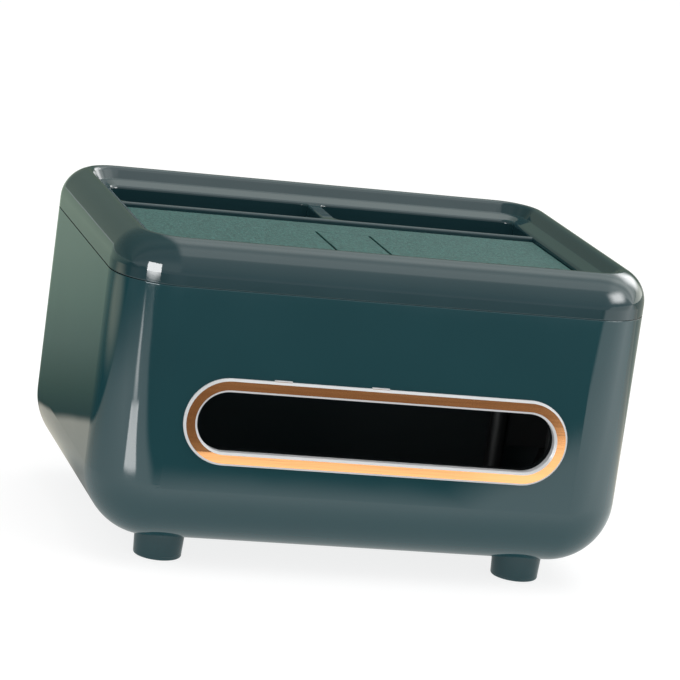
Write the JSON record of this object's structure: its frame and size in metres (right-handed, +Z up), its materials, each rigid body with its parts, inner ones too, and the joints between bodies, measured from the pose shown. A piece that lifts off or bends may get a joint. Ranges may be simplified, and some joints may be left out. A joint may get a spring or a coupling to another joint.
{
  "type": "tissue box with drawer",
  "caption": "Rounded dark green tissue box on round feet, with a gold-ringed front outlet, hinged refill lid, storage wells and a rear drawer.",
  "frame": {"origin": "middle of the footprint, on the floor that the rubber pads stand on", "axes": "+X to the right seen from the front, +Y to the back, +Z up; the outlet faces -Y and the drawer opens towards +Y"},
  "size_m": [0.26, 0.197, 0.1582],
  "materials": {
    "gloss_green": "polished injection-moulded ABS, dark blue-green",
    "grained_green": "fine spark-eroded grain, green",
    "gold_plate": "bright rose-gold plating on plastic",
    "steel": "zinc-plated steel",
    "rubber": "soft matt rubber"
  },
  "bodies": {
    "casing": {"body_shell": "gloss_green", "top_cover": "gloss_green", "cover_screws": "steel", "hinge_pins": "steel", "outlet_ring": "gold_plate", "partition": "gloss_green", "drawer_cradle": "gloss_green", "cradle_screws": "steel", "foot_front_left": "gloss_green", "foot_front_right": "gloss_green", "foot_rear_left": "gloss_green", "foot_rear_right": "gloss_green", "pad_front_left": "rubber", "pad_front_right": "rubber", "pad_rear_left": "rubber", "pad_rear_right": "rubber", "foot_screws": "steel"},
    "lid": {"refill_lid": "grained_green"},
    "tongue": {"lid_tab": "grained_green"},
    "drawer": {"drawer_tray": "gloss_green", "drawer_front": "gloss_green", "drawer_front_screws": "steel", "drawer_pull": "gold_plate"}
  },
  "joints": [
    {"name": "lid_hinge", "type": "hinge", "parent": "casing", "child": "lid", "pos_m": [0, 0.0316, 0.1447], "axis": [-1, 0, 0], "range_deg": [0, 95]},
    {"name": "tongue_press", "type": "hinge", "parent": "lid", "child": "tongue", "pos_m": [0, 0.011, 0.1455], "axis": [1, 0, 0], "range_deg": [0, 3], "stiffness_Nm_per_rad": 2.5},
    {"name": "drawer_slide", "type": "slide", "parent": "casing", "child": "drawer", "axis": [0, 1, 0], "range_m": [0, 0.038]}
  ]
}
